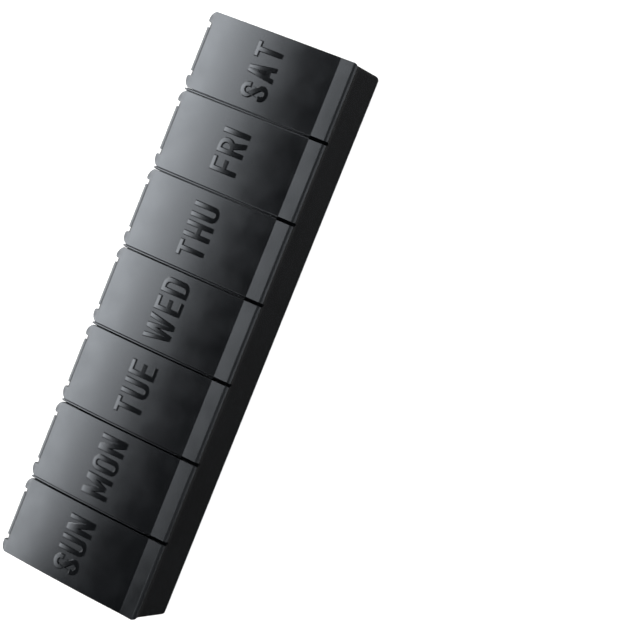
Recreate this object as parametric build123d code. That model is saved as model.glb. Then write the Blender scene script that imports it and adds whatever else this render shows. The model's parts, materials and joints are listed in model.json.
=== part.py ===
from build123d import *
import os
from math import sqrt

# Seven-day pill organizer: one moulded tray and seven hinged lids.
# Millimetres. X runs along the row of days, the opening lip faces -Y, the hinge is at +Y, Z is up.
# The origin is at the middle of the length and of the depth, on the surface it stands on.

# ---- row of days
DAYS = {
    "sunday": "SUN", "monday": "MON", "tuesday": "TUE", "wednesday": "WED",
    "thursday": "THU", "friday": "FRI", "saturday": "SAT",
}
PITCH = 31.5                       # centre to centre of two lids
LID_GAP = 1.5                      # between two neighbouring lids
LID_WIDTH = PITCH - LID_GAP
END_X = (PITCH * len(DAYS) - LID_GAP) / 2

# ---- depth
RIM_Y = -32.5                      # front edge of the tray's rim
LIP_Y = -31.27                     # front edge of the lids
LID_REAR_Y = 30.0                  # rear edge of the lids
HINGE_Y = 30.49

# ---- height
HINGE_Z = 23.6
SEAT_Z = 25.5                      # top of the tray's rim, where the lids rest
LIP_TOP_Z = 26.3                   # top of the flat front lip
ARCH_RISE = 0.8                    # crown of the arched part of a lid
LIP_BAND = 5.77                    # depth of the flat front lip
EDGE_ROLL = 0.9                    # rounding of the lid's rear edge
REAR_EDGE_Z = 25.0                 # underside of the rear edge, behind the tray's wall

# ---- tray
WALL = 1.4
FLOOR = 1.5
RIM_FLARE = 0.9                    # how far the rim stands out from the front wall
END_FLARE = 0.3                    # and from the two end walls
FLARE_HEIGHT = 5.0
FLARE_LEVELS = 6
RIM_EDGE = 0.3                     # upright edge of the rim, above the cove
WALL_DRAFT = 0.58                  # how far the front wall leans in, down to the base
BASE_ROUND = 1.5
CORNER_ROUND = 1.6
CELL_CORNER = 4.0
CELL_SCOOP = 3.5                   # rounding between a cell's walls and its floor
RIB = 0.75                         # rib between two lids
RIB_BELOW_LID = 1.1
DIVIDER_DROP = 2.0                 # top of a divider, at the foot of its rib, below the rim
RIB_FRONT = 1.6                    # from the flat lip to the foot of the rib
RIB_TAIL = 0.85                    # how far the rib reaches past the lids' rear edge
NOTCH = 1.2                        # nick in the rim in line with each rib
TAIL_DROP = 0.25                   # how far the end of a rib falls away

# ---- hinge
EAR_R = 2.01
EAR_INNER_X = 10.5
EAR_ROUND = 2.8                    # outer corner of an ear, seen from above
EAR_INNER_ROUND = 0.9
EAR_CREST_R = 0.9                  # rounding along the top of an ear
EAR_CREST_Y = 0.36                 # its centre, from the hinge axis
EAR_CREST_Z = 1.6
EAR_TO_WALL = 0.35
PIN_R = 0.8
PIN_CLEARANCE = 0.05
PIN_ENGAGED = 1.6
BARREL_R = 1.55
BARREL_HALF = 8.65
BORE_DEPTH = 2.0
EDGE_TO_BARREL = 0.3
WEB = 1.2
GUSSET = 1.4
GUSSET_X = 6.5
STOP_Y = 0.47                      # rear face of a gusset, behind the hinge axis
STOP_DROP = 3.4
GUSSET_DROP = 6.6

# ---- lid
LID_SKIN = 1.2
SKIRT = 1.0
SKIRT_DROP = 3.0
SKIRT_HALF_X = 12.4
SKIRT_CORNER = 3.6
SKIRT_FRONT_GAP = 0.3
SKIRT_REAR_GAP = 1.3

# ---- day names
CAP = 12.2                         # letter height
STEM = 2.0
BAR = 1.8
LETTER_GAP = 1.45
LETTER_RISE = 0.35
LETTER_Y = 2.38                    # middle of the names
LETTER_WIDTH = 6.1
WIDTHS = {"E": 5.6, "F": 5.6, "I": 2.2, "M": 8.2, "N": 6.5, "W": 9.8, "A": 6.4}

MERGE = 0.5                        # how deep a feature reaches into the body it grows from
WALL_REAR_Y = HINGE_Y - EAR_R - EAR_TO_WALL
CELL_FRONT_Y = RIM_Y + RIM_FLARE + WALL_DRAFT / 2 + WALL
CELL_REAR_Y = WALL_REAR_Y - WALL
CELL_END_X = END_X - END_FLARE - WALL
ARCH_FRONT_Y = LIP_Y + LIP_BAND
ARCH_REAR_Y = LID_REAR_Y - EDGE_ROLL
ARCH_MID_Y = (ARCH_FRONT_Y + ARCH_REAR_Y) / 2
HINGE = Pos(HINGE_Y, HINGE_Z)      # in a YZ sketch


def day_x(index):
    return (index - (len(DAYS) - 1) / 2) * PITCH


def crown_z(y, base_z):
    """Height of the lid's arch at depth y, for an arch whose ends are at base_z."""
    half = (ARCH_REAR_Y - ARCH_FRONT_Y) / 2
    radius = (half**2 + ARCH_RISE**2) / (2 * ARCH_RISE)
    return base_z + ARCH_RISE - radius + sqrt(radius**2 - (y - ARCH_MID_Y) ** 2)


def across(sketch, x_from, x_to):
    """Extrude a YZ sketch along X."""
    return extrude(Plane.YZ.offset(x_from) * sketch, x_to - x_from)


def rect(x_from, x_to, y_from, y_to):
    centre = Pos((x_from + x_to) / 2, (y_from + y_to) / 2)
    return centre * Rectangle(x_to - x_from, y_to - y_from)


def rounded(x_from, x_to, y_from, y_to, radius):
    centre = Pos((x_from + x_to) / 2, (y_from + y_to) / 2)
    return centre * RectangleRounded(x_to - x_from, y_to - y_from, radius)


def region(points):
    return make_face(Polyline(*points, close=True))


# ---------------------------------------------------------------- tray
def tray_outline(front, ends):
    """Plan of the tray, moved in from the rim at the front and at both ends."""
    return rounded(ends - END_X, END_X - ends, RIM_Y + front, WALL_REAR_Y, CORNER_ROUND)


def wall_outline(front):
    """Plan of the tray where its front is in from the rim by at most the flare."""
    return tray_outline(front, front * END_FLARE / RIM_FLARE)


def cove_inset(drop):
    """How far the surface is in from the rim, this far below the rim's upright edge."""
    radius = (RIM_FLARE**2 + FLARE_HEIGHT**2) / (2 * RIM_FLARE)
    return RIM_FLARE - radius + sqrt(radius**2 - (FLARE_HEIGHT - drop) ** 2)


def tray_block():
    cove_top = SEAT_Z - RIM_EDGE
    block = extrude(Pos(0, 0, cove_top) * wall_outline(0), RIM_EDGE)
    levels = []
    for level in range(FLARE_LEVELS + 1):
        drop = FLARE_HEIGHT * level / FLARE_LEVELS
        levels.append(Pos(0, 0, cove_top - drop) * wall_outline(cove_inset(drop)))
    block += loft(levels)
    wall_top = Pos(0, 0, cove_top - FLARE_HEIGHT) * wall_outline(RIM_FLARE)
    wall = loft([wall_top, tray_outline(RIM_FLARE + WALL_DRAFT, END_FLARE)])
    return block + fillet(wall.faces().sort_by(Axis.Z)[0].edges(), BASE_ROUND)


def cell(index):
    """The space that one compartment takes out of the tray."""
    half = (PITCH - WALL) / 2
    x_from = max(day_x(index) - half, -CELL_END_X)
    x_to = min(day_x(index) + half, CELL_END_X)
    plan = rounded(x_from, x_to, CELL_FRONT_Y, CELL_REAR_Y, CELL_CORNER)
    space = extrude(Pos(0, 0, FLOOR) * plan, SEAT_Z)
    return fillet(space.faces().sort_by(Axis.Z)[0].edges(), CELL_SCOOP)


def rib(x):
    """Rib on a divider, between two lids, that follows their arch."""
    base = LIP_TOP_Z - RIB_BELOW_LID
    foot_z = SEAT_Z - DIVIDER_DROP
    foot_y = ARCH_FRONT_Y + RIB_FRONT
    crest_y = foot_y + RIB_FRONT
    tail_y = LID_REAR_Y + RIB_TAIL
    crest = ThreePointArc(
        (crest_y, crown_z(crest_y, base)),
        (ARCH_MID_Y, base + ARCH_RISE),
        (ARCH_REAR_Y, base),
    )
    edge = Polyline(
        (ARCH_REAR_Y, base),
        (tail_y, base - TAIL_DROP),
        (tail_y, HINGE_Z),
        (WALL_REAR_Y - MERGE, SEAT_Z - FLARE_HEIGHT),
        (WALL_REAR_Y - MERGE, foot_z - MERGE),
        (foot_y, foot_z - MERGE),
        (foot_y, foot_z),
        (crest_y, crown_z(crest_y, base)),
    )
    return across(make_face(crest + edge), x - RIB / 2, x + RIB / 2)


def buttress(x):
    """End of a divider behind the rear wall, under the tail of its rib."""
    root_y = WALL_REAR_Y - MERGE
    tail_y = LID_REAR_Y + RIB_TAIL
    side = region([
        (root_y, SEAT_Z - DIVIDER_DROP),
        (tail_y, SEAT_Z - DIVIDER_DROP),
        (tail_y, HINGE_Z - RIB_TAIL),
        (root_y, SEAT_Z - FLARE_HEIGHT),
    ])
    return across(side, x - WALL / 2, x + WALL / 2)


def divider_groove(x):
    """Space that sets a divider's top below the rim, between two lids."""
    groove = rect(RIM_Y - MERGE, WALL_REAR_Y + MERGE, SEAT_Z - DIVIDER_DROP, SEAT_Z + MERGE)
    return across(groove, x - WALL / 2, x + WALL / 2)


def rim_notch(x):
    """Nick where a divider meets the front rim."""
    size = NOTCH * sqrt(2)
    depth = 2 * (LIP_Y - RIM_Y) + size
    return Pos(x, RIM_Y, SEAT_Z) * Rot(0, 45, 0) * Box(size / 2, depth, size / 2)


def barrel(x):
    """The tray's half of one hinge: barrel, web and gussets that stop the open lid."""
    shell = across(HINGE * Circle(BARREL_R), x - BARREL_HALF, x + BARREL_HALF)
    root_y = WALL_REAR_Y - MERGE
    web = rect(root_y, HINGE_Y, HINGE_Z - WEB / 2, HINGE_Z + WEB / 2)
    shell += across(web, x - BARREL_HALF, x + BARREL_HALF)
    side = region([
        (root_y, HINGE_Z + WEB / 2),
        (HINGE_Y, HINGE_Z + WEB / 2),
        (HINGE_Y + STOP_Y, HINGE_Z - WEB),
        (HINGE_Y + STOP_Y, HINGE_Z - STOP_DROP),
        (root_y, HINGE_Z - GUSSET_DROP),
    ])
    for offset in (-GUSSET_X, 0, GUSSET_X):
        shell += across(side, x + offset - GUSSET / 2, x + offset + GUSSET / 2)
    return shell


def bores(x):
    """Blind holes in the two ends of a barrel."""
    hole = HINGE * Circle(PIN_R + PIN_CLEARANCE)
    left = across(hole, x - BARREL_HALF, x - BARREL_HALF + BORE_DEPTH)
    return left + across(hole, x + BARREL_HALF - BORE_DEPTH, x + BARREL_HALF)


def tray():
    body = tray_block()
    for index in range(len(DAYS)):
        body -= cell(index)
    for index in range(len(DAYS) - 1):
        divider_x = day_x(index) + PITCH / 2
        body -= divider_groove(divider_x) + rim_notch(divider_x)
        body += rib(divider_x) + buttress(divider_x)
    for index in range(len(DAYS)):
        body += barrel(day_x(index))
        body -= bores(day_x(index))
    return body


# ---------------------------------------------------------------- lid
def crown_profile(y_from, y_to, foot_z, base_z):
    """YZ face under the lid's outside: flat at the lip, then the arch."""
    arch = ThreePointArc(
        (ARCH_FRONT_Y, base_z),
        (ARCH_MID_Y, base_z + ARCH_RISE),
        (y_to, crown_z(y_to, base_z)),
    )
    edge = Polyline(
        (y_to, crown_z(y_to, base_z)),
        (y_to, foot_z),
        (y_from, foot_z),
        (y_from, base_z),
        (ARCH_FRONT_Y, base_z),
    )
    return make_face(arch + edge)


def lid_plate():
    profile = crown_profile(LIP_Y, ARCH_REAR_Y, SEAT_Z, LIP_TOP_Z)
    roll_z = LIP_TOP_Z - EDGE_ROLL
    profile += rect(ARCH_REAR_Y, LID_REAR_Y, REAR_EDGE_Z, roll_z)
    roll = Pos(ARCH_REAR_Y, roll_z) * Circle(EDGE_ROLL)
    profile += roll & rect(ARCH_REAR_Y, LID_REAR_Y, roll_z, LIP_TOP_Z)
    profile -= HINGE * Circle(BARREL_R + EDGE_TO_BARREL)
    return across(profile, -LID_WIDTH / 2, LID_WIDTH / 2)


def skirt_outline(inset):
    front = CELL_FRONT_Y + SKIRT_FRONT_GAP + inset
    rear = CELL_REAR_Y - SKIRT_REAR_GAP - inset
    half = SKIRT_HALF_X - inset
    return rounded(-half, half, front, rear, SKIRT_CORNER - inset)


def skirt():
    """Ring under the lid that drops into the compartment."""
    ring = skirt_outline(0) - skirt_outline(SKIRT)
    return extrude(Pos(0, 0, SEAT_Z - SKIRT_DROP) * ring, SKIRT_DROP + MERGE)


def pocket():
    """Hollow on the underside that keeps the arched skin even."""
    front = CELL_FRONT_Y + SKIRT_FRONT_GAP + SKIRT
    rear = CELL_REAR_Y - SKIRT_REAR_GAP - SKIRT
    under = crown_profile(front, rear, SEAT_Z - SKIRT_DROP, LIP_TOP_Z - LID_SKIN)
    hollow = across(under, -SKIRT_HALF_X, SKIRT_HALF_X)
    plan = Pos(0, 0, SEAT_Z - SKIRT_DROP) * skirt_outline(SKIRT)
    return hollow & extrude(plan, SKIRT_DROP + LIP_TOP_Z)


def ear(side):
    """Rounded knuckle at one rear corner, with its hinge pin pointing inward."""
    root = HINGE_Y - EAR_R
    plate_end = rect(root, ARCH_REAR_Y, SEAT_Z, LIP_TOP_Z)
    knuckle = HINGE * Circle(EAR_R)
    crest = HINGE * Pos(EAR_CREST_Y, EAR_CREST_Z) * Circle(EAR_CREST_R)
    profile = make_hull(plate_end.edges() + knuckle.edges() + crest.edges())
    outer_x = LID_WIDTH / 2
    body = across(profile, EAR_INNER_X, outer_x)
    front_y, rear_y = root - EAR_R, HINGE_Y + EAR_R
    plan = rounded(EAR_INNER_X - EAR_ROUND, outer_x, front_y, rear_y, EAR_ROUND)
    plan &= rounded(EAR_INNER_X, outer_x + EAR_ROUND, front_y, rear_y, EAR_INNER_ROUND)
    body &= extrude(Pos(0, 0, HINGE_Z - EAR_R) * plan, LIP_TOP_Z)
    pin_tip = BARREL_HALF - PIN_ENGAGED
    body += across(HINGE * Circle(PIN_R), pin_tip, EAR_INNER_X + MERGE)
    return body if side > 0 else mirror(body, Plane.YZ)


# ---------------------------------------------------------------- day names
def stroke(*path):
    return trace(Curve() + list(path), line_width=STEM)


def letter_s(w):
    left, right = STEM / 2, w - STEM / 2
    r = (right - left) / 2
    high, low = CAP - STEM / 2 - r, STEM / 2 + r
    return stroke(
        Line((right, high - BAR / 2), (right, high)),
        ThreePointArc((right, high), (w / 2, high + r), (left, high)),
        Spline((left, high), (right, low), tangents=[(0, -1), (0, -1)]),
        ThreePointArc((right, low), (w / 2, low - r), (left, low)),
        Line((left, low), (left, low + BAR / 2)),
    )


def letter_u(w):
    left, right = STEM / 2, w - STEM / 2
    r = (right - left) / 2
    low = STEM / 2 + r
    return stroke(
        Line((left, CAP), (left, low)),
        ThreePointArc((left, low), (w / 2, STEM / 2), (right, low)),
        Line((right, low), (right, CAP)),
    )


def letter_o(w):
    outer = SlotOverall(CAP, w, rotation=90)
    inner = SlotOverall(CAP - 2 * BAR, w - 2 * STEM, rotation=90)
    return Pos(w / 2, CAP / 2) * (outer - inner)


def letter_d(w):
    outer = rounded(-w, w, 0, CAP, w / 2) & rect(0, w, 0, CAP)
    inner = rounded(-w, w - STEM, BAR, CAP - BAR, w / 2 - BAR / 2) & rect(STEM, w, 0, CAP)
    return outer - inner


def letter_r(w):
    waist = CAP / 2 - BAR / 2
    outer = rounded(-w, w, waist, CAP, w / 2 - BAR / 2) & rect(0, w, 0, CAP)
    inner = rounded(-w, w - STEM, waist + BAR, CAP - BAR, BAR / 2) & rect(STEM, w, 0, CAP)
    leg = region([(w - STEM * 1.05, 0), (w + 0.1, 0), (w - STEM, waist + BAR), (STEM * 1.2, waist + BAR)])
    return outer - inner + rect(0, STEM, 0, CAP) + (leg - inner)


def letter_t(w):
    return rect(0, w, CAP - BAR, CAP) + rect((w - STEM) / 2, (w + STEM) / 2, 0, CAP)


def letter_f(w):
    middle = (CAP - BAR) / 2
    bars = rect(0, w, CAP - BAR, CAP) + rect(0, w - STEM / 4, middle, middle + BAR)
    return bars + rect(0, STEM, 0, CAP)


def letter_e(w):
    return letter_f(w) + rect(0, w, 0, BAR)


def letter_h(w):
    middle = (CAP - BAR) / 2
    stems = rect(0, STEM, 0, CAP) + rect(w - STEM, w, 0, CAP)
    return stems + rect(0, w, middle, middle + BAR)


def letter_i(w):
    return rect(0, w, 0, CAP)


def letter_n(w):
    slope = 1.2 * STEM
    slant = region([(0, CAP), (slope, CAP), (w, 0), (w - slope, 0)])
    return rect(0, STEM, 0, CAP) + rect(w - STEM, w, 0, CAP) + slant


def letter_m(w):
    vertex = CAP / 6
    half = 0.38 * STEM
    vee = region([
        (0, CAP), (1.35 * STEM, CAP), (w / 2, CAP / 2), (w - 1.35 * STEM, CAP), (w, CAP),
        (w / 2 + half, vertex), (w / 2 - half, vertex),
    ])
    return rect(0, STEM, 0, CAP) + rect(w - STEM, w, 0, CAP) + vee


def letter_w(w):
    foot_from, foot_to = 0.19 * w, 0.41 * w
    half = STEM / 2
    return region([
        (0, CAP), (STEM, CAP), (0.3 * w, 0.39 * CAP), (w / 2 - half, CAP), (w / 2 + half, CAP),
        (0.7 * w, 0.39 * CAP), (w - STEM, CAP), (w, CAP), (w - foot_from, 0), (w - foot_to, 0),
        (w / 2, 0.53 * CAP), (foot_to, 0), (foot_from, 0),
    ])


def letter_a(w):
    apex = 1.4
    outline = region([(0, 0), (w / 2 - apex, CAP), (w / 2 + apex, CAP), (w, 0)])
    cross_from, cross_to = CAP / 5, CAP / 5 + BAR
    between = region([(STEM, -1), (w / 2, 0.86 * CAP), (w - STEM, -1)])
    return outline - between + (outline & rect(0, w, cross_from, cross_to))


LETTERS = {
    "A": letter_a, "D": letter_d, "E": letter_e, "F": letter_f, "H": letter_h, "I": letter_i,
    "M": letter_m, "N": letter_n, "O": letter_o, "R": letter_r, "S": letter_s, "T": letter_t,
    "U": letter_u, "W": letter_w,
}


def day_name(text):
    """Raised letters whose tops follow the lid's arch."""
    widths = [WIDTHS.get(letter, LETTER_WIDTH) for letter in text]
    x = -(sum(widths) + LETTER_GAP * (len(text) - 1)) / 2
    raised = crown_profile(LIP_Y, ARCH_REAR_Y, SEAT_Z + LETTER_RISE, LIP_TOP_Z + LETTER_RISE)
    surface = across(raised, -LID_WIDTH / 2, LID_WIDTH / 2)
    name = None
    for letter, width in zip(text, widths):
        face = Pos(x, LETTER_Y - CAP / 2, LIP_TOP_Z - MERGE / 2) * LETTERS[letter](width)
        solid = extrude(face, LIP_TOP_Z) & surface
        name = solid if name is None else name + solid
        x += width + LETTER_GAP
    return name


def blank_lid():
    body = lid_plate() + skirt() - pocket()
    return body + ear(-1) + ear(1)


def save(node, shape):
    shape.label = node
    export_step(shape, f"parts/{node}.step")


os.makedirs("parts", exist_ok=True)
save("tray", tray())
blank = blank_lid()
for number, (day, short) in enumerate(DAYS.items()):
    save(f"lid_{day}", Pos(day_x(number), 0, 0) * (blank + day_name(short)))
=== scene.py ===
import json
from math import cos, hypot, radians, sin, sqrt

import bmesh
import bpy
from mathutils import Matrix, Vector


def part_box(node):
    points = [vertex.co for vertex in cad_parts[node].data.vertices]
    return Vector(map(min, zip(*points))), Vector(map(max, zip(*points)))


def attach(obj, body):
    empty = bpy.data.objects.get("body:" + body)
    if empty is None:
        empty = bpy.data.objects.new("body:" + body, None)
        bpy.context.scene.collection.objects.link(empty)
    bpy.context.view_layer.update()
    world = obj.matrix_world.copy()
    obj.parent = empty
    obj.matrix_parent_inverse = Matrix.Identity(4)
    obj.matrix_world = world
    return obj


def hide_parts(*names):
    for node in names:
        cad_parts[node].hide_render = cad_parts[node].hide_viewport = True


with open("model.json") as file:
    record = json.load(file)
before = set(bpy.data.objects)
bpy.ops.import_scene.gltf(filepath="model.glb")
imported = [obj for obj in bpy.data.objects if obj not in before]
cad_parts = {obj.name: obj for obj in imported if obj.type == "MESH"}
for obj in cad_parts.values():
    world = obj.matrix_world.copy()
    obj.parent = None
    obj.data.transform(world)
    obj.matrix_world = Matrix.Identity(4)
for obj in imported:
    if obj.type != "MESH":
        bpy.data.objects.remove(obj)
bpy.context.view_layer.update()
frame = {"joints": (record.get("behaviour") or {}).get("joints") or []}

# Seven-day pill organizer in smoky black plastic. Metres, in the frame of the CAD model.
MM = 0.001

# ---- places taken from the CAD model
DAYS = {
    "sunday": "SUN", "monday": "MON", "tuesday": "TUE", "wednesday": "WED",
    "thursday": "THU", "friday": "FRI", "saturday": "SAT",
}
JOINTS = {joint["child"]: joint for joint in frame["joints"]}
LID_LOW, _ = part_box("lid_sunday")
TRAY_LOW, TRAY_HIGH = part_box("tray")
DAY_X = {day: JOINTS["lid_" + day]["pos_m"][0] for day in DAYS}
HINGE_Y, HINGE_Z = JOINTS["lid_sunday"]["pos_m"][1:]
PITCH = DAY_X["monday"] - DAY_X["sunday"]
LID_WIDTH = 30.0 * MM
END_X = TRAY_HIGH.x
RIM_Y = TRAY_LOW.y                 # front edge of the tray's rim
LIP_Y = LID_LOW.y                  # front edge of the lids
REAR_TO_HINGE = 0.49 * MM
LID_REAR_Y = HINGE_Y - REAR_TO_HINGE
SEAT_Z = 25.5 * MM                 # top of the tray's rim, where the lids rest
LIP_THICKNESS = 0.8 * MM
LIP_TOP_Z = SEAT_Z + LIP_THICKNESS
REAR_EDGE_Z = 25.0 * MM            # underside of the rear edge, behind the tray's wall

# ---- tray
WALL = 1.4 * MM
FLOOR = 1.5 * MM
RIM_FLARE = 0.9 * MM               # how far the rim stands out from the front wall
END_FLARE = 0.3 * MM               # and from the two end walls
FLARE_HEIGHT = 5.0 * MM
FLARE_LEVELS = 12
RIM_EDGE = 0.3 * MM                # upright edge of the rim, above the cove
WALL_DRAFT = 0.58 * MM             # how far the front wall leans in, down to the base
BASE_ROUND = 1.5 * MM
CORNER_ROUND = 1.6 * MM
TIGHTEST_CORNER = 0.12 * MM
CELL_CORNER = 4.0 * MM
CELL_SCOOP = 3.5 * MM              # rounding between a cell's walls and its floor
RIB = 0.75 * MM                    # rib between two lids
RIB_BELOW_LID = 0.8 * MM
DIVIDER_DROP = 2.0 * MM            # top of a divider, at the foot of its rib, below the rim
RIB_FRONT = 1.6 * MM               # from the flat lip to the foot of the rib
RIB_TAIL = 0.85 * MM               # how far the rib reaches past the lids' rear edge
TAIL_DROP = 0.25 * MM              # how far the end of a rib falls away
RIB_ROUND = 0.36 * MM
TRAY_SOFTEN = 0.22 * MM

# ---- hinge
EAR_R = 2.01 * MM
EAR_INNER_X = 10.5 * MM
EAR_ROUND = 3.4 * MM               # length of the outer corner of an ear along the row
EAR_SWEEP = 3.2 * MM               # how far that corner is drawn in
EAR_INNER_ROUND = 0.9 * MM
EAR_CREST_R = 0.9 * MM             # rounding along the top of an ear, and its centre
EAR_CREST_Y = 0.36 * MM
EAR_CREST_Z = 1.6 * MM
EAR_STEPS = 16                     # along the outer corner; half as many on the inner one
EAR_TO_WALL = 0.35 * MM
PIN_R = 0.8 * MM
BORE_R = 0.85 * MM
PIN_ENGAGED = 1.6 * MM
BARREL_R = 1.55 * MM
BARREL_HALF = 8.65 * MM
BORE_DEPTH = 2.0 * MM
EDGE_TO_BARREL = 0.3 * MM
WEB = 1.2 * MM
GUSSET = 1.4 * MM
GUSSET_X = 6.5 * MM
STOP_Y = 0.47 * MM                 # rear face of a gusset, behind the hinge axis
STOP_DROP = 3.4 * MM
GUSSET_DROP = 6.6 * MM
HINGE_SOFTEN = 0.11 * MM

# ---- lid
ARCH_RISE = 0.8 * MM               # crown of the arched part
LIP_BAND = 5.77 * MM               # depth of the flat front lip
EDGE_ROLL = 0.9 * MM               # rounding of the rear edge
CREASE = 0.12 * MM                 # half width of the bend between the arch and the lip
LIP_TURN_UP = 0.1 * MM             # how far the lip's front edge stands above its root
LIP_ROUND = 0.22 * MM
LID_SKIN = 1.2 * MM
SKIRT = 1.0 * MM
SKIRT_DROP = 3.0 * MM
SKIRT_HALF_X = 12.4 * MM
SKIRT_CORNER = 3.6 * MM
SKIRT_FRONT_GAP = 0.3 * MM
SKIRT_REAR_GAP = 1.3 * MM
LID_SOFTEN = 0.12 * MM

# ---- day names
CAP = 11.85 * MM                   # letter height
STEM = 2.0 * MM
BAR = 1.8 * MM
LETTER_GAP = 1.45 * MM
LETTER_Y = 1.83 * MM               # middle of the names
LETTER_RISE = 0.08 * MM            # height of the name's front edge above the lid
LETTER_DOME_R = 59 * MM            # the letters' tops lie on one cylinder of this radius
LETTER_CREST = 2.0 * MM            # its crest, from the middle of the names
LETTER_EDGE = 0.28 * MM            # bevel around the letters
LETTER_STRIPS = 24                 # rows of faces along the dome
LETTER_SHARP = radians(25)         # sharper edges stay crisp
WELD = 0.001 * MM
LETTER_WIDTH = 6.1 * MM
WIDTHS = {
    "E": 5.6 * MM, "F": 5.6 * MM, "I": 2.2 * MM, "M": 8.2 * MM, "N": 6.5 * MM,
    "W": 9.8 * MM, "A": 6.4 * MM,
}

MERGE = 0.5 * MM                   # how deep a feature reaches into the body it grows from
MOULD_SHARP = radians(33)          # edges sharper than this are rounded
WALL_REAR_Y = HINGE_Y - EAR_R - EAR_TO_WALL
CELL_FRONT_Y = RIM_Y + RIM_FLARE + WALL_DRAFT / 2 + WALL
CELL_REAR_Y = WALL_REAR_Y - WALL
CELL_END_X = END_X - END_FLARE - WALL
ARCH_FRONT_Y = LIP_Y + LIP_BAND
ARCH_REAR_Y = LID_REAR_Y - EDGE_ROLL
ARCH_MID_Y = (ARCH_FRONT_Y + ARCH_REAR_Y) / 2
ARCH_HALF = (ARCH_REAR_Y - ARCH_FRONT_Y) / 2
ARCH_R = (ARCH_HALF**2 + ARCH_RISE**2) / (2 * ARCH_RISE)

# ---- plastic
IOR = 1.6
SPECULAR_TINT = (0.88, 0.935, 1.0, 1)
LID_COLOUR = (0.0012, 0.0014, 0.0017)
LID_ROUGHNESS = 0.165
TRAY_COLOUR = (0.0013, 0.0015, 0.0018)
TRAY_ROUGHNESS = 0.18
WEAR_RADIUS = 0.35 * MM            # how far from an edge the plastic is rubbed
GRAIN_STRENGTH = 0.25
GRAIN_DEPTH = 0.004 * MM
CLOUD_SCALE = 45.0                 # the noises' scales, in cycles per metre or so
GLOSS_SCALE = 120.0
GRAIN_SCALE = 4200.0

# ---- camera and light
CAMERA_AT = (0.066705, -0.329827, 0.648716)
CAMERA_TURN = (5.7583, 23.5483, -65.9639)   # degrees about X, Y and Z
LENS = 109.37
SENSOR = 36.0
BACK_Y = 1.2                       # the softboxes behind the object
BACK_X = (-0.66, -0.3, 1.0)
BACK_ROWS = [                      # from, to, brightness in W/m2, share of it on the left
    (0.02, 0.95, 18.0, 0.85),
    (0.95, 1.45, 14.3, 0.89),
    (1.45, 1.79, 24.8, 0.87),
    (1.79, 2.27, 10.8, 0.74),
    (2.27, 2.70, 2.0, 0.5),
]
OVERHEAD_AT = (0.1, -0.6, 1.9)     # lights the floor and the body colour only
OVERHEAD_SIZE = (2.4, 2.0)
OVERHEAD_POWER = 60                # W
FRONT_AT = (0.1, -1.0, 1.7)        # a faint sheen on edges that face the front
FRONT_SIZE = (2.0, 1.0)
FRONT_POWER = 20
AMBIENT = 0.015                    # dim surroundings
AMBIENT_LOBES = (                  # direction, where it starts and is full, brightness
    ((1.0, 0.0, -0.6), 0.0, 0.6, 0.06),
    ((0.0, 1.0, -0.3), 0.6, 1.0, 0.22),
    ((0.0, -1.0, 0.3), 0.6, 1.0, 0.3),
)
STUDIO_FLOOR = 12                  # side of the floor
STUDIO_FLOOR_Z = -0.02 * MM
FLOOR_GREY = 0.9


# ------------------------------------------------------------------ mesh tools
def add_object(name, mesh):
    piece = bpy.data.objects.new(name, mesh)
    bpy.context.scene.collection.objects.link(piece)
    return piece


def loops_solid(name, loops):
    """A closed solid skinned over loops that all have the same number of points."""
    bm = bmesh.new()
    rings = [[bm.verts.new(point) for point in loop] for loop in loops]
    count = len(rings[0])
    for lower, upper in zip(rings, rings[1:]):
        for i in range(count):
            j = (i + 1) % count
            bm.faces.new((lower[i], lower[j], upper[j], upper[i]))
    bm.faces.new(rings[0][::-1])
    bm.faces.new(rings[-1])
    bmesh.ops.recalc_face_normals(bm, faces=bm.faces)
    mesh = bpy.data.meshes.new(name)
    bm.to_mesh(mesh)
    bm.free()
    return add_object(name, mesh)


def prism(name, profile, x_from, x_to):
    """A YZ profile drawn out along X."""
    return loops_solid(name, [[(x, y, z) for y, z in profile] for x in (x_from, x_to)])


def freeze(piece):
    """Apply the piece's modifiers."""
    graph = bpy.context.evaluated_depsgraph_get()
    mesh = bpy.data.meshes.new_from_object(piece.evaluated_get(graph))
    piece.modifiers.clear()
    piece.data = mesh


def combine(piece, tool, operation):
    modifier = piece.modifiers.new("combine", "BOOLEAN")
    modifier.object = tool
    modifier.operation = operation
    modifier.solver = "EXACT"
    freeze(piece)
    bpy.data.objects.remove(tool)
    return piece


def soften(piece, width, segments=3):
    """Round the piece's hard edges, as a mould does."""
    modifier = piece.modifiers.new("soften", "BEVEL")
    modifier.width = width
    modifier.segments = segments
    modifier.limit_method = "ANGLE"
    modifier.angle_limit = MOULD_SHARP
    modifier.miter_outer = "MITER_ARC"
    freeze(piece)
    smooth(piece)


def smooth(piece):
    """Smooth shading that leaves large flat faces flat."""
    for face in piece.data.polygons:
        face.use_smooth = True
    modifier = piece.modifiers.new("normals", "WEIGHTED_NORMAL")
    modifier.weight = 100
    modifier.keep_sharp = True
    freeze(piece)


def join(name, pieces):
    """One object from several, with their meshes kept as they are."""
    bm = bmesh.new()
    for piece in pieces:
        bm.from_mesh(piece.data)
    mesh = bpy.data.meshes.new(name)
    bm.to_mesh(mesh)
    bm.free()
    for piece in pieces:
        bpy.data.objects.remove(piece)
    return add_object(name, mesh)


def arc(centre, radius, start, stop, steps):
    """Points on a circle from one angle to another, in degrees."""
    angles = [radians(start + (stop - start) * i / steps) for i in range(steps + 1)]
    return [(centre[0] + radius * cos(a), centre[1] + radius * sin(a)) for a in angles]


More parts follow.
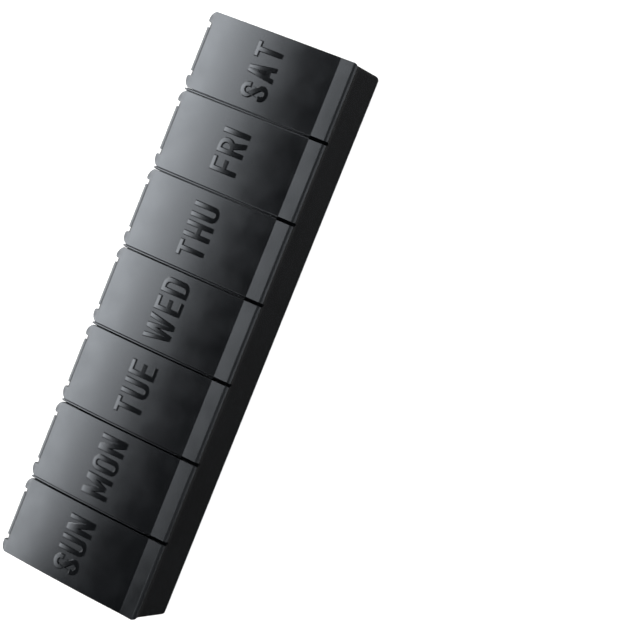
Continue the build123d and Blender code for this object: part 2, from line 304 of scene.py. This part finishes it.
def rounded_loop(x_from, x_to, y_from, y_to, radius, steps=6):
    """Rectangle with rounded corners."""
    corners = [
        (x_to - radius, y_to - radius, 0), (x_from + radius, y_to - radius, 90),
        (x_from + radius, y_from + radius, 180), (x_to - radius, y_from + radius, 270),
    ]
    return [p for x, y, a in corners for p in arc((x, y), radius, a, a + 90, steps)]


def at_height(points, z):
    return [(x, y, z) for x, y in points]


def hull(points):
    """Convex outline of a set of points."""
    def turn(o, a, b):
        return (a[0] - o[0]) * (b[1] - o[1]) - (a[1] - o[1]) * (b[0] - o[0])

    def half(ordered):
        chain = []
        for point in ordered:
            while len(chain) > 1 and turn(chain[-2], chain[-1], point) <= 0:
                chain.pop()
            chain.append(point)
        return chain[:-1]

    ordered = sorted(set(points))
    return half(ordered) + half(ordered[::-1])


# ------------------------------------------------------------------ lid
def crown(y, base_z):
    """Height of the arch at depth y, for an arch whose ends are at base_z."""
    return base_z + ARCH_RISE - ARCH_R + sqrt(ARCH_R**2 - (y - ARCH_MID_Y) ** 2)


def crown_line(y_from, y_to, base_z, steps=28):
    """The lid's outside from y_from to y_to, with a narrow bend where the lip begins."""
    bend_from, bend_to = ARCH_FRONT_Y - CREASE, ARCH_FRONT_Y + CREASE
    line = [(y_from, base_z + LIP_TURN_UP), (bend_from, base_z)]
    for i in range(steps + 1):
        y = bend_to + (y_to - bend_to) * i / steps
        line.append((y, crown(y, base_z)))
    return line


def lid_plate():
    """The lid's arched plate and flat lip, cut clear of the hinge bar."""
    roll_centre = (ARCH_REAR_Y, LIP_TOP_Z - EDGE_ROLL)
    lip_centre = (LIP_Y + LIP_ROUND, LIP_TOP_Z + LIP_TURN_UP - LIP_ROUND)
    outside = arc(lip_centre, LIP_ROUND, 180, 90, 4)[:-1]
    outside += crown_line(LIP_Y + LIP_ROUND, ARCH_REAR_Y, LIP_TOP_Z)[:-1]
    outside += arc(roll_centre, EDGE_ROLL, 90, 0, 8)
    under = [
        (LID_REAR_Y, REAR_EDGE_Z), (ARCH_REAR_Y, REAR_EDGE_Z), (ARCH_REAR_Y, SEAT_Z),
        (LIP_Y, SEAT_Z),
    ]
    plate = prism("plate", outside + under, -LID_WIDTH / 2, LID_WIDTH / 2)
    reach = BARREL_R + EDGE_TO_BARREL
    clearance = prism("clearance", arc((HINGE_Y, HINGE_Z), reach, 0, 350, 35), -PITCH, PITCH)
    return combine(plate, clearance, "DIFFERENCE")


def skirt_loop(inset):
    front = CELL_FRONT_Y + SKIRT_FRONT_GAP + inset
    rear = CELL_REAR_Y - SKIRT_REAR_GAP - inset
    half = SKIRT_HALF_X - inset
    return rounded_loop(-half, half, front, rear, SKIRT_CORNER - inset, 8)


def upright(name, loop, z_from, z_to):
    return loops_solid(name, [at_height(loop, z_from), at_height(loop, z_to)])


def pocket():
    """Hollow on the underside that leaves an even skin and the skirt."""
    foot = SEAT_Z - SKIRT_DROP - MERGE
    line = crown_line(LIP_Y, ARCH_REAR_Y, LIP_TOP_Z - LID_SKIN)
    under = prism("under", line + [(ARCH_REAR_Y, foot), (LIP_Y, foot)], -PITCH, PITCH)
    inside = upright("inside", skirt_loop(SKIRT), foot - MERGE, LIP_TOP_Z + ARCH_RISE)
    return combine(under, inside, "INTERSECT")


def ear_stations():
    """Places along an ear, and by how much its rear edge is drawn in at each."""
    stations = []
    inner_steps = EAR_STEPS // 2
    for i in range(inner_steps + 1):
        angle = radians(90 * i / inner_steps)
        x = EAR_INNER_X + EAR_INNER_ROUND * (1 - cos(angle))
        stations.append((x, EAR_INNER_ROUND * (1 - sin(angle))))
    for i in range(EAR_STEPS + 1):
        angle = radians(90 * i / EAR_STEPS)
        x = LID_WIDTH / 2 - EAR_ROUND * (1 - sin(angle))
        stations.append((x, EAR_SWEEP * (1 - cos(angle))))
    return stations


def ear(side):
    """Petal-shaped knuckle at a rear corner of the lid."""
    root = HINGE_Y - EAR_R
    circle = arc((HINGE_Y, HINGE_Z), EAR_R, 0, 355, 71)
    crest = arc((HINGE_Y + EAR_CREST_Y, HINGE_Z + EAR_CREST_Z), EAR_CREST_R, 0, 350, 35)
    plate_end = [(y, z) for y in (root, ARCH_REAR_Y) for z in (SEAT_Z, LIP_TOP_Z)]
    profile = hull(circle + crest + plate_end)
    depth = 2 * EAR_R
    loops = []
    for x, short in ear_stations():
        grow = (depth - short) / depth
        loops.append([(side * x, root + (y - root) * grow, z) for y, z in profile])
    return loops_solid("ear", loops)


def pin(side):
    tip = BARREL_HALF - PIN_ENGAGED
    circle = arc((HINGE_Y, HINGE_Z), PIN_R, 0, 345, 23)
    return prism("pin", circle, side * tip, side * (EAR_INNER_X + MERGE))


def blank_lid():
    """A lid without its name, at x = 0."""
    body = lid_plate()
    skirt = upright("skirt", skirt_loop(0), SEAT_Z - SKIRT_DROP, SEAT_Z + MERGE)
    body = combine(body, skirt, "UNION")
    body = combine(body, pocket(), "DIFFERENCE")
    for side in (-1, 1):
        body = combine(body, ear(side), "UNION")
        body = combine(body, pin(side), "UNION")
    soften(body, LID_SOFTEN)
    return body


# ------------------------------------------------------------------ day names
def shape(*points):
    return [[(x, y) for x, y in points]]


def bar(x_from, x_to, y_from, y_to):
    return shape((x_from, y_from), (x_to, y_from), (x_to, y_to), (x_from, y_to))


def stroke(path):
    """Outline of a pen of the stem's width drawn along a path."""
    left, right = [], []
    for i, (x, y) in enumerate(path):
        before, after = path[max(i - 1, 0)], path[min(i + 1, len(path) - 1)]
        dx, dy = after[0] - before[0], after[1] - before[1]
        scale = STEM / 2 / hypot(dx, dy)
        left.append((x - dy * scale, y + dx * scale))
        right.append((x + dy * scale, y - dx * scale))
    return [left + right[::-1]]


def letter_s(w):
    left, right = STEM / 2, w - STEM / 2
    r = (right - left) / 2
    high, low = CAP - STEM / 2 - r, STEM / 2 + r
    pull, steps = 0.75 * (high - low), 16
    path = [(right, high - BAR / 2)] + arc((w / 2, high), r, 0, 180, 12)
    for i in range(1, steps):
        t = i / steps
        ease = t**2 * (3 - 2 * t)
        x = left + (right - left) * ease
        y = high + (low - high) * ease + pull * t * (1 - t) * (2 * t - 1)
        path.append((x, y))
    path += arc((w / 2, low), r, 0, -180, 12) + [(left, low + BAR / 2)]
    return stroke(path)


def letter_u(w):
    r = w / 2
    outer = [(0, CAP)] + arc((r, r), r, 180, 360, 16) + [(w, CAP), (w - STEM, CAP)]
    inner = arc((r, r), r - STEM, 360, 180, 16) + [(STEM, CAP)]
    return [outer + inner]


def slot_loop(w, inset_x, inset_y):
    r = w / 2 - inset_x
    top = arc((w / 2, CAP - inset_y - r), r, 0, 180, 16)
    return top + arc((w / 2, inset_y + r), r, 180, 360, 16)


def letter_o(w):
    return [slot_loop(w, 0, 0), slot_loop(w, STEM, BAR)]


def bowl_loop(x_from, x_to, y_from, y_to, r):
    """Square at the left, round at the right."""
    right = arc((x_to - r, y_from + r), r, -90, 0, 10) + arc((x_to - r, y_to - r), r, 0, 90, 10)
    return [(x_from, y_from)] + right + [(x_from, y_to)]


def letter_d(w):
    inner_r = w / 2 - STEM * 0.75
    return [bowl_loop(0, w, 0, CAP, w / 2), bowl_loop(STEM, w - STEM, BAR, CAP - BAR, inner_r)]


def letter_r(w):
    waist, overhang = (CAP - BAR) / 2, 0.1 * MM
    half_bowl = (CAP - waist) / 2
    r = half_bowl - 2 * overhang
    leg_top, knee = 0.42 * w, 0.62 * (w + STEM)
    outer = [
        (0, 0), (STEM, 0), (STEM, waist), (leg_top, waist), (w - 1.05 * STEM, 0), (w + overhang, 0),
        (knee, waist + overhang),
    ]
    outer += arc((w - r, waist + r), r, -50, 0, 8) + arc((w - r, CAP - r), r, 0, 90, 10)
    outer += [(0, CAP)]
    inner_r = half_bowl - BAR - overhang / 2
    return [outer, bowl_loop(STEM, w - STEM, waist + BAR, CAP - BAR, inner_r)]


def letter_t(w):
    a, b = (w - STEM) / 2, (w + STEM) / 2
    y = CAP - BAR
    return shape((a, 0), (b, 0), (b, y), (w, y), (w, CAP), (0, CAP), (0, y), (a, y))


def letter_f(w):
    low, high = (CAP - BAR) / 2, (CAP + BAR) / 2
    short, top = w - STEM / 4, CAP - BAR
    return shape(
        (0, 0), (STEM, 0), (STEM, low), (short, low), (short, high), (STEM, high), (STEM, top),
        (w, top), (w, CAP), (0, CAP),
    )


def letter_e(w):
    low, high = (CAP - BAR) / 2, (CAP + BAR) / 2
    short, top = w - STEM / 4, CAP - BAR
    return shape(
        (0, 0), (w, 0), (w, BAR), (STEM, BAR), (STEM, low), (short, low), (short, high),
        (STEM, high), (STEM, top), (w, top), (w, CAP), (0, CAP),
    )


def letter_h(w):
    low, high = (CAP - BAR) / 2, (CAP + BAR) / 2
    a, b = STEM, w - STEM
    return shape(
        (0, 0), (a, 0), (a, low), (b, low), (b, 0), (w, 0), (w, CAP), (b, CAP), (b, high),
        (a, high), (a, CAP), (0, CAP),
    )


def letter_i(w):
    return bar(0, w, 0, CAP)


def letter_n(w):
    slope = 1.2 * STEM
    meet = CAP * STEM / (w - slope)
    return shape(
        (0, 0), (STEM, 0), (STEM, CAP - meet), (w - slope, 0), (w, 0), (w, CAP), (w - STEM, CAP),
        (w - STEM, meet), (slope, CAP), (0, CAP),
    )


def letter_m(w):
    vertex, half, shoulder = CAP / 6, 0.38 * STEM, 1.35 * STEM
    fall = (CAP - vertex) / (w / 2 - half)
    inner_y = CAP - fall * STEM
    return shape(
        (0, 0), (STEM, 0), (STEM, inner_y), (w / 2 - half, vertex), (w / 2 + half, vertex),
        (w - STEM, inner_y), (w - STEM, 0), (w, 0), (w, CAP), (w - shoulder, CAP),
        (w / 2, CAP / 2), (shoulder, CAP), (0, CAP),
    )


def letter_w(w):
    foot_from, foot_to, half = 0.19 * w, 0.41 * w, STEM / 2
    return shape(
        (0, CAP), (STEM, CAP), (0.3 * w, 0.39 * CAP), (w / 2 - half, CAP), (w / 2 + half, CAP),
        (0.7 * w, 0.39 * CAP), (w - STEM, CAP), (w, CAP), (w - foot_from, 0), (w - foot_to, 0),
        (w / 2, 0.53 * CAP), (foot_to, 0), (foot_from, 0),
    )


def letter_a(w):
    apex = 1.4 * MM
    cross_from, cross_to = CAP / 5, CAP / 5 + BAR
    lean = (w / 2 - STEM) / (0.86 * CAP)
    x_low, x_high = STEM + lean * cross_from, STEM + lean * cross_to
    outline = shape(
        (0, 0), (STEM, 0), (x_low, cross_from), (w - x_low, cross_from), (w - STEM, 0), (w, 0),
        (w / 2 + apex, CAP), (w / 2 - apex, CAP),
    )
    return outline + shape((x_high, cross_to), (w - x_high, cross_to), (w / 2, 0.86 * CAP))


LETTERS = {
    "A": letter_a, "D": letter_d, "E": letter_e, "F": letter_f, "H": letter_h, "I": letter_i,
    "M": letter_m, "N": letter_n, "O": letter_o, "R": letter_r, "S": letter_s, "T": letter_t,
    "U": letter_u, "W": letter_w,
}


def letter_dome(y):
    """Height of the letters' tops above their flat outline, at depth y from their middle."""
    edge = sqrt(LETTER_DOME_R**2 - (CAP / 2 + LETTER_CREST) ** 2)
    return sqrt(LETTER_DOME_R**2 - (y - LETTER_CREST) ** 2) - edge


def flat_name(text, thickness):
    """A name as a flat slab with bevelled edges, its middle at the origin."""
    widths = [WIDTHS.get(letter, LETTER_WIDTH) for letter in text]
    x = -(sum(widths) + LETTER_GAP * (len(text) - 1)) / 2
    curve = bpy.data.curves.new("outline", "CURVE")
    curve.dimensions = "2D"
    curve.fill_mode = "BOTH"
    curve.extrude = thickness / 2 - LETTER_EDGE
    curve.bevel_depth = LETTER_EDGE
    curve.bevel_resolution = 0
    curve.offset = -LETTER_EDGE
    for letter, width in zip(text, widths):
        for loop in LETTERS[letter](width):
            spline = curve.splines.new("POLY")
            spline.points.add(len(loop) - 1)
            for point, (px, py) in zip(spline.points, loop):
                point.co = (x + px, py - CAP / 2, 0, 1)
            spline.use_cyclic_u = True
        x += width + LETTER_GAP
    outline = add_object("outline", curve)
    graph = bpy.context.evaluated_depsgraph_get()
    mesh = bpy.data.meshes.new_from_object(outline.evaluated_get(graph))
    bpy.data.objects.remove(outline)
    return mesh


def dome(mesh, base):
    """Lift a flat name to the height base and bend its tops to the letters' cylinder."""
    bm = bmesh.new()
    bm.from_mesh(mesh)
    bmesh.ops.remove_doubles(bm, verts=bm.verts, dist=WELD)
    for i in range(1, LETTER_STRIPS):
        y = CAP * (i / LETTER_STRIPS - 0.5)
        parts = list(bm.verts) + list(bm.edges) + list(bm.faces)
        bmesh.ops.bisect_plane(bm, geom=parts, plane_co=(0, y, 0), plane_no=(0, 1, 0))
    for vert in bm.verts:
        y = max(-CAP / 2, min(CAP / 2, vert.co.y))
        vert.co.z += base + (letter_dome(y) if vert.co.z > 0 else 0)
    for edge in bm.edges:
        edge.smooth = not edge.is_manifold or edge.calc_face_angle() < LETTER_SHARP
    bm.to_mesh(mesh)
    bm.free()


def day_name(day):
    """Raised letters, domed from front to back, on a lid."""
    thickness = LETTER_RISE + MERGE
    mesh = flat_name(DAYS[day], thickness)
    dome(mesh, crown(LETTER_Y, LIP_TOP_Z) + LETTER_RISE - thickness / 2)
    mesh.transform(Matrix.Translation((DAY_X[day], LETTER_Y, 0)))
    piece = add_object("name_" + day, mesh)
    smooth(piece)
    return piece


# ------------------------------------------------------------------ tray
def tray_loop(inset, end_inset, round_in, z):
    """Plan of the tray: the insets move the front and the ends in, round_in all four sides."""
    front, ends = RIM_Y + inset + round_in, END_X - end_inset - round_in
    radius = max(CORNER_ROUND - round_in, TIGHTEST_CORNER)
    return at_height(rounded_loop(-ends, ends, front, WALL_REAR_Y - round_in, radius), z)


def cove_inset(drop):
    """How far the cove has drawn the wall in, at a drop below its top edge."""
    radius = (RIM_FLARE**2 + FLARE_HEIGHT**2) / (2 * RIM_FLARE)
    return RIM_FLARE - radius + sqrt(radius**2 - (FLARE_HEIGHT - drop) ** 2)


def tray_block():
    """The tray's outside, with its rounded base, upright walls, cove and rim."""
    cove_top = SEAT_Z - RIM_EDGE
    loops = []
    for y, z in arc((BASE_ROUND, BASE_ROUND), BASE_ROUND, 270, 180, 7):
        loops.append(tray_loop(RIM_FLARE + WALL_DRAFT, END_FLARE, y, z))
    for i in range(FLARE_LEVELS + 1):
        drop = FLARE_HEIGHT * (1 - i / FLARE_LEVELS)
        inset = cove_inset(drop)
        loops.append(tray_loop(inset, inset * END_FLARE / RIM_FLARE, 0, cove_top - drop))
    loops.append(tray_loop(0, 0, 0, SEAT_Z))
    return loops_solid("block", loops)


def cell(day):
    """The space of one compartment, open at the top, with rounded corners and floor."""
    half = (PITCH - WALL) / 2
    x_from, x_to = max(DAY_X[day] - half, -CELL_END_X), min(DAY_X[day] + half, CELL_END_X)
    loops = []
    for side, z in arc((CELL_SCOOP, FLOOR + CELL_SCOOP), CELL_SCOOP, 270, 180, 8):
        radius = CELL_CORNER - side
        loop = rounded_loop(
            x_from + side, x_to - side, CELL_FRONT_Y + side, CELL_REAR_Y - side, radius, 8
        )
        loops.append(at_height(loop, z))
    top = [(x, y, SEAT_Z + MERGE) for x, y, _ in loops[-1]]
    return loops_solid("cell", loops + [top])


def rib(x):
    """Rib on a divider, between two lids, that follows their arch."""
    base = LIP_TOP_Z - RIB_BELOW_LID
    foot_z = SEAT_Z - DIVIDER_DROP
    foot_y = ARCH_FRONT_Y + RIB_FRONT
    crest_y = foot_y + RIB_FRONT
    tail_y = LID_REAR_Y + RIB_TAIL
    steps = 20
    profile = [(foot_y, foot_z - MERGE), (foot_y, foot_z)]
    for i in range(steps + 1):
        y = crest_y + (ARCH_REAR_Y - crest_y) * i / steps
        profile.append((y, crown(y, base)))
    profile += [
        (tail_y, base - TAIL_DROP), (tail_y, HINGE_Z),
        (WALL_REAR_Y - MERGE, SEAT_Z - FLARE_HEIGHT), (WALL_REAR_Y - MERGE, foot_z - MERGE),
    ]
    piece = prism("rib", profile, x - RIB / 2, x + RIB / 2)
    soften(piece, RIB_ROUND, 4)
    return piece


def buttress(x):
    """End of a divider behind the rear wall, under the tail of its rib."""
    root_y, tail_y = WALL_REAR_Y - MERGE, LID_REAR_Y + RIB_TAIL
    top = SEAT_Z - DIVIDER_DROP
    profile = [
        (root_y, top), (tail_y, top), (tail_y, HINGE_Z - RIB_TAIL), (root_y, SEAT_Z - FLARE_HEIGHT),
    ]
    return prism("buttress", profile, x - WALL / 2, x + WALL / 2)


def divider_groove(x):
    """Space that sets a divider's top below the rim, between two lids."""
    front, rear = RIM_Y - MERGE, WALL_REAR_Y + MERGE
    bottom, top = SEAT_Z - DIVIDER_DROP, SEAT_Z + MERGE
    profile = [(front, bottom), (rear, bottom), (rear, top), (front, top)]
    return prism("groove", profile, x - WALL / 2, x + WALL / 2)


def groove_foot(x):
    """Sharp valley along the bottom of a divider's groove, from the rim to the rib."""
    half, z = WALL / 2, SEAT_Z - DIVIDER_DROP
    corners = [(x - half, z), (x, z - 2 * half), (x + half, z), (x, z + half)]
    front, rear = RIM_Y - MERGE, ARCH_FRONT_Y + RIB_FRONT
    return loops_solid("valley", [[(cx, y, cz) for cx, cz in corners] for y in (front, rear)])


def barrel():
    """Hinge bar with a blind bore in each end, at x = 0."""
    bore_end = BARREL_HALF - BORE_DEPTH
    rings = [
        (-bore_end, BORE_R), (-BARREL_HALF, BORE_R), (-BARREL_HALF, BARREL_R),
        (BARREL_HALF, BARREL_R), (BARREL_HALF, BORE_R), (bore_end, BORE_R),
    ]
    circle = arc((0, 0), 1, 0, 350, 35)
    loops = [[(x, HINGE_Y + r * c, HINGE_Z + r * s) for c, s in circle] for x, r in rings]
    return loops_solid("barrel", loops)


def hinge_bar():
    """Hinge bar, the web that holds it and the gussets under it, at x = 0."""
    bar_piece = barrel()
    root_y = WALL_REAR_Y - MERGE
    web = [
        (root_y, HINGE_Z - WEB / 2), (HINGE_Y, HINGE_Z - WEB / 2),
        (HINGE_Y, HINGE_Z + WEB / 2), (root_y, HINGE_Z + WEB / 2),
    ]
    inner = BARREL_HALF - BORE_DEPTH
    bar_piece = combine(bar_piece, prism("web", web, -inner, inner), "UNION")
    side = [
        (root_y, HINGE_Z + WEB / 2), (HINGE_Y, HINGE_Z + WEB / 2),
        (HINGE_Y + STOP_Y, HINGE_Z - WEB), (HINGE_Y + STOP_Y, HINGE_Z - STOP_DROP),
        (root_y, HINGE_Z - GUSSET_DROP),
    ]
    outermost = GUSSET_X - GUSSET / 2
    for x in (-outermost, 0, outermost):
        gusset = prism("gusset", side, x - GUSSET / 2, x + GUSSET / 2)
        bar_piece = combine(bar_piece, gusset, "UNION")
    soften(bar_piece, HINGE_SOFTEN, 2)
    return bar_piece


def copies(piece, offsets):
    """Copies of a piece's mesh along X; the piece itself is removed."""
    made = []
    for x in offsets:
        mesh = piece.data.copy()
        mesh.transform(Matrix.Translation((x, 0, 0)))
        made.append(add_object(piece.name + "_copy", mesh))
    bpy.data.objects.remove(piece)
    return made


def tray_shell():
    body = tray_block()
    for day in DAYS:
        body = combine(body, cell(day), "DIFFERENCE")
    dividers = [x + PITCH / 2 for x in list(DAY_X.values())[:-1]]
    for x in dividers:
        body = combine(body, divider_groove(x), "DIFFERENCE")
        body = combine(body, groove_foot(x), "DIFFERENCE")
        body = combine(body, buttress(x), "UNION")
    soften(body, TRAY_SOFTEN)
    bars = copies(hinge_bar(), DAY_X.values())
    shell = join("tray_shell", [body] + bars + [rib(x) for x in dividers])
    smooth(shell)
    return shell


# ------------------------------------------------------------------ materials
def noise(nodes, links, place, scale, detail):
    texture = nodes.new("ShaderNodeTexNoise")
    texture.inputs["Scale"].default_value = scale
    texture.inputs["Detail"].default_value = detail
    links.new(place, texture.inputs["Vector"])
    return texture.outputs["Fac"]


def ramp(nodes, links, source, from_min, from_max, to_min, to_max):
    node = nodes.new("ShaderNodeMapRange")
    node.inputs["From Min"].default_value = from_min
    node.inputs["From Max"].default_value = from_max
    node.inputs["To Min"].default_value = to_min
    node.inputs["To Max"].default_value = to_max
    links.new(source, node.inputs["Value"])
    return node.outputs["Result"]


def dot_product(nodes, links, a):
    """Dot product whose first side is linked; gives its second socket and its value."""
    node = nodes.new("ShaderNodeVectorMath")
    node.operation = "DOT_PRODUCT"
    links.new(a, node.inputs[0])
    return node.inputs[1], node.outputs["Value"]


def edge_wear(nodes, links):
    """1 on the plastic's edges and 0 on its flats."""
    rounded = nodes.new("ShaderNodeBevel")
    rounded.samples = 4
    rounded.inputs["Radius"].default_value = WEAR_RADIUS
    true_normal = nodes.new("ShaderNodeNewGeometry").outputs["Normal"]
    other, facing = dot_product(nodes, links, rounded.outputs["Normal"])
    links.new(true_normal, other)
    return ramp(nodes, links, facing, 0.995, 0.8, 0.0, 1.0)


def blend(nodes, links, factor, colour):
    """Mix towards a colour; gives the socket of the first colour and the result."""
    mix = nodes.new("ShaderNodeMix")
    mix.data_type = "RGBA"
    mix.inputs["B"].default_value = (*colour, 1)
    links.new(factor, mix.inputs["Factor"])
    return mix.inputs["A"], mix.outputs["Result"]


def plastic(name, colour, roughness):
    """Smoky moulded plastic: fine mould grain, faint cloudiness, paler rubbed edges."""
    material = bpy.data.materials.new(name)
    material.use_nodes = True
    nodes, links = material.node_tree.nodes, material.node_tree.links
    shader = nodes["Principled BSDF"]
    shader.inputs["IOR"].default_value = IOR
    shader.inputs["Specular Tint"].default_value = SPECULAR_TINT
    place = nodes.new("ShaderNodeTexCoord").outputs["Object"]
    edge = edge_wear(nodes, links)

    cloud = ramp(nodes, links, noise(nodes, links, place, CLOUD_SCALE, 3.0), 0.35, 0.75, 0.0, 1.0)
    base, clouded = blend(nodes, links, cloud, [c * 1.5 + 0.0004 for c in colour])
    base.default_value = (*colour, 1)
    rub = ramp(nodes, links, edge, 0.0, 1.0, 0.0, 0.3)
    unworn, worn = blend(nodes, links, rub, [c * 2.5 + 0.001 for c in colour])
    links.new(clouded, unworn)
    links.new(worn, shader.inputs["Base Color"])

    patches = noise(nodes, links, place, GLOSS_SCALE, 4.0)
    gloss = nodes.new("ShaderNodeMath")
    low, high = roughness - 0.02, roughness + 0.03
    links.new(ramp(nodes, links, patches, 0.3, 0.7, low, high), gloss.inputs[0])
    links.new(ramp(nodes, links, edge, 0.0, 1.0, 0.0, 0.1), gloss.inputs[1])
    links.new(gloss.outputs["Value"], shader.inputs["Roughness"])

    grain = nodes.new("ShaderNodeBump")
    grain.inputs["Strength"].default_value = GRAIN_STRENGTH
    grain.inputs["Distance"].default_value = GRAIN_DEPTH
    links.new(noise(nodes, links, place, GRAIN_SCALE, 2.0), grain.inputs["Height"])
    links.new(grain.outputs["Normal"], shader.inputs["Normal"])
    return material


def floor_material():
    material = bpy.data.materials.new("studio_floor")
    material.use_nodes = True
    shader = material.node_tree.nodes["Principled BSDF"]
    shader.inputs["Base Color"].default_value = (FLOOR_GREY, FLOOR_GREY, FLOOR_GREY, 1)
    shader.inputs["Roughness"].default_value = 0.9
    shader.inputs["Specular IOR Level"].default_value = 0.1
    return material


# ------------------------------------------------------------------ studio
def add_floor():
    bpy.ops.mesh.primitive_plane_add(size=STUDIO_FLOOR, location=(0, 0, STUDIO_FLOOR_Z))
    floor = bpy.context.object
    floor.name = "studio_floor"
    floor.data.materials.append(floor_material())
    floor.visible_glossy = False


def softbox(name, at, aim, size, power):
    """Area light; its brightness is the power over its area."""
    light = bpy.data.lights.new(name, "AREA")
    light.shape = "RECTANGLE"
    light.size, light.size_y = size
    light.energy = power
    lamp = add_object(name, light)
    lamp.location = at
    lamp.rotation_euler = (Vector(aim) - Vector(at)).to_track_quat("-Z", "Y").to_euler()
    return lamp


def back_panel(name, x_from, x_to, z_from, z_to, brightness):
    """Upright softbox behind the hinges, facing the object."""
    middle_x, middle_z = (x_from + x_to) / 2, (z_from + z_to) / 2
    width, height = x_to - x_from, z_to - z_from
    at, aim = (middle_x, BACK_Y, middle_z), (middle_x, 0, middle_z)
    return softbox(name, at, aim, (width, height), brightness * width * height)


def add_surroundings():
    """Dim surroundings, a little brighter about a few directions."""
    world = bpy.data.worlds.new("studio")
    bpy.context.scene.world = world
    world.use_nodes = True
    nodes, links = world.node_tree.nodes, world.node_tree.links
    background = nodes["Background"]
    background.inputs["Color"].default_value = (1, 1, 1, 1)
    around = nodes.new("ShaderNodeTexCoord").outputs["Generated"]
    total = nodes.new("ShaderNodeValue").outputs[0]
    total.default_value = AMBIENT
    for direction, start, full, brightness in AMBIENT_LOBES:
        other, value = dot_product(nodes, links, around)
        other.default_value = direction
        added = nodes.new("ShaderNodeMath")
        links.new(total, added.inputs[0])
        links.new(ramp(nodes, links, value, start, full, 0.0, brightness), added.inputs[1])
        total = added.outputs[0]
    links.new(total, background.inputs["Strength"])


def add_lights():
    far_left, seam, far_right = BACK_X
    for number, (z_from, z_to, brightness, share) in enumerate(BACK_ROWS):
        back_panel(f"back_{number}_left", far_left, seam, z_from, z_to, brightness * share)
        back_panel(f"back_{number}_right", seam, far_right, z_from, z_to, brightness)
    overhead = softbox("overhead", OVERHEAD_AT, (0, 0, 0), OVERHEAD_SIZE, OVERHEAD_POWER)
    overhead.visible_glossy = False
    softbox("front", FRONT_AT, (0, 0, 0), FRONT_SIZE, FRONT_POWER)


def add_camera():
    data = bpy.data.cameras.new("camera")
    data.sensor_fit = "HORIZONTAL"
    data.sensor_width = SENSOR
    data.lens = LENS
    data.clip_start = 0.01
    camera = add_object("camera", data)
    camera.location = CAMERA_AT
    camera.rotation_euler = [radians(angle) for angle in CAMERA_TURN]
    bpy.context.scene.camera = camera


# ------------------------------------------------------------------ assembly
def paint(piece, material):
    piece.data.materials.clear()
    piece.data.materials.append(material)


lid_plastic = plastic("smoky_lid_plastic", LID_COLOUR, LID_ROUGHNESS)
tray_plastic = plastic("smoky_tray_plastic", TRAY_COLOUR, TRAY_ROUGHNESS)

tray = tray_shell()
paint(tray, tray_plastic)
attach(tray, "tray")
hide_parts("tray")

blank = blank_lid()
for day in DAYS:
    body = "lid_" + day
    mesh = blank.data.copy()
    mesh.transform(Matrix.Translation((DAY_X[day], 0, 0)))
    lid = add_object(body + "_shell", mesh)
    paint(lid, lid_plastic)
    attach(lid, body)
    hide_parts(body)
    letters = day_name(day)
    paint(letters, lid_plastic)
    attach(letters, body)
bpy.data.objects.remove(blank)

add_floor()
add_surroundings()
add_lights()
add_camera()
bpy.context.scene.view_settings.view_transform = "Standard"
